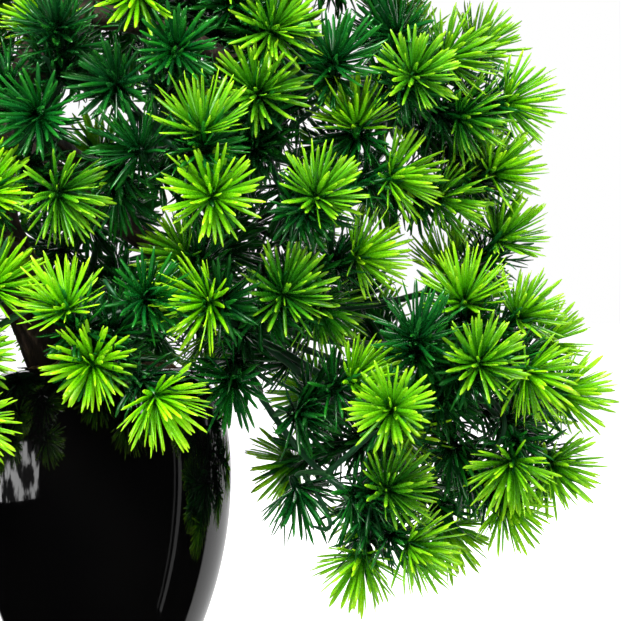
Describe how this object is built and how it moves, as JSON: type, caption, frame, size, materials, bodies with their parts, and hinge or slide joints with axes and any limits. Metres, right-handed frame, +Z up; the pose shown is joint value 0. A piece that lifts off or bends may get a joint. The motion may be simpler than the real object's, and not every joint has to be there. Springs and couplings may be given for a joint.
{
  "type": "artificial tabletop tree",
  "caption": "Bonsai-style artificial pine in a round glossy black pot: bark-covered trunk, plug-in limbs that swivel, green stems and dense tufts of lime and dark green needles.",
  "frame": {"origin": "centre of the pot's flat base, on the surface that it stands on", "axes": "+Z up along the pot's axis, +X to the right and -Y to the front as the tree is displayed"},
  "size_m": [0.5297, 0.2865, 0.5947],
  "materials": {
    "pot_glaze": "near-black high gloss glaze",
    "cement": "rough cast cement",
    "coir": "loose brown coir fibre over brown filler",
    "steel": "plain drawn steel",
    "bark": "moulded dark brown bark, deep vertical grain",
    "stem": "moulded dark green plastic, faint ribs",
    "bright_needles": "lime green tips over mid-green roots, satin gloss",
    "dark_needles": "deep green, satin gloss"
  },
  "bodies": {
    "pot_and_trunk": {"pot": "pot_glaze", "cement_fill": "cement", "coir_top": "coir", "anchor_rod": "steel", "trunk": "bark"},
    "right_low_branch": {"right_low_limb": "bark", "right_low_peg": "steel", "right_low_stems": "stem", "right_low_bright_tufts": "bright_needles", "right_low_dark_tufts": "dark_needles"},
    "right_high_branch": {"right_high_limb": "bark", "right_high_peg": "steel", "right_high_stems": "stem", "right_high_bright_tufts": "bright_needles", "right_high_dark_tufts": "dark_needles"},
    "right_top_branch": {"right_top_limb": "bark", "right_top_peg": "steel", "right_top_stems": "stem", "right_top_bright_tufts": "bright_needles", "right_top_dark_tufts": "dark_needles"},
    "front_low_branch": {"front_low_limb": "bark", "front_low_peg": "steel", "front_low_stems": "stem", "front_low_bright_tufts": "bright_needles", "front_low_dark_tufts": "dark_needles"},
    "front_high_branch": {"front_high_limb": "bark", "front_high_peg": "steel", "front_high_stems": "stem", "front_high_bright_tufts": "bright_needles", "front_high_dark_tufts": "dark_needles"},
    "left_low_branch": {"left_low_limb": "bark", "left_low_peg": "steel", "left_low_stems": "stem", "left_low_bright_tufts": "bright_needles", "left_low_dark_tufts": "dark_needles"},
    "left_high_branch": {"left_high_limb": "bark", "left_high_peg": "steel", "left_high_stems": "stem", "left_high_bright_tufts": "bright_needles", "left_high_dark_tufts": "dark_needles"},
    "back_low_branch": {"back_low_limb": "bark", "back_low_peg": "steel", "back_low_stems": "stem", "back_low_bright_tufts": "bright_needles", "back_low_dark_tufts": "dark_needles"},
    "back_high_branch": {"back_high_limb": "bark", "back_high_peg": "steel", "back_high_stems": "stem", "back_high_bright_tufts": "bright_needles", "back_high_dark_tufts": "dark_needles"},
    "crown_branch": {"crown_limb": "bark", "crown_peg": "steel", "crown_stems": "stem", "crown_bright_tufts": "bright_needles", "crown_dark_tufts": "dark_needles"}
  },
  "joints": [
    {"name": "right_low_swivel", "type": "hinge", "parent": "pot_and_trunk", "child": "right_low_branch", "pos_m": [-0.04247, -0.00079, 0.27198], "axis": [0.8591, -0.0499, -0.5094], "range_deg": [-8, 8]},
    {"name": "right_high_swivel", "type": "hinge", "parent": "pot_and_trunk", "child": "right_high_branch", "pos_m": [-0.01283, -0.00066, 0.35068], "axis": [0.9938, -0.0497, -0.0994], "range_deg": [-8, 8]},
    {"name": "right_top_swivel", "type": "hinge", "parent": "pot_and_trunk", "child": "right_top_branch", "pos_m": [-0.00306, 0.00115, 0.42088], "axis": [0.9621, 0.1013, 0.2532], "range_deg": [-8, 8]},
    {"name": "front_low_swivel", "type": "hinge", "parent": "pot_and_trunk", "child": "front_low_branch", "pos_m": [-0.05053, -0.01732, 0.21818], "axis": [0.2996, -0.9488, -0.0999], "range_deg": [-8, 8]},
    {"name": "front_high_swivel", "type": "hinge", "parent": "pot_and_trunk", "child": "front_high_branch", "pos_m": [-0.0364, -0.01397, 0.31544], "axis": [0.2483, -0.9636, 0.0993], "range_deg": [-8, 8]},
    {"name": "left_low_swivel", "type": "hinge", "parent": "pot_and_trunk", "child": "left_low_branch", "pos_m": [-0.07663, 0.00086, 0.23657], "axis": [-0.9782, 0.0504, -0.2017], "range_deg": [-8, 8]},
    {"name": "left_high_swivel", "type": "hinge", "parent": "pot_and_trunk", "child": "left_high_branch", "pos_m": [-0.03259, -0.00063, 0.37737], "axis": [-0.9975, -0.0499, -0.0499], "range_deg": [-8, 8]},
    {"name": "back_low_swivel", "type": "hinge", "parent": "pot_and_trunk", "child": "back_low_branch", "pos_m": [-0.0455, 0.01426, 0.29075], "axis": [0.2978, 0.943, -0.1489], "range_deg": [-8, 8]},
    {"name": "back_high_swivel", "type": "hinge", "parent": "pot_and_trunk", "child": "back_high_branch", "pos_m": [-0.01518, 0.0118, 0.39422], "axis": [0.152, 0.9832, 0.1014], "range_deg": [-8, 8]},
    {"name": "crown_swivel", "type": "hinge", "parent": "pot_and_trunk", "child": "crown_branch", "pos_m": [-0.01, 0, 0.4775], "axis": [0, 0, 1], "range_deg": [-8, 8]}
  ]
}
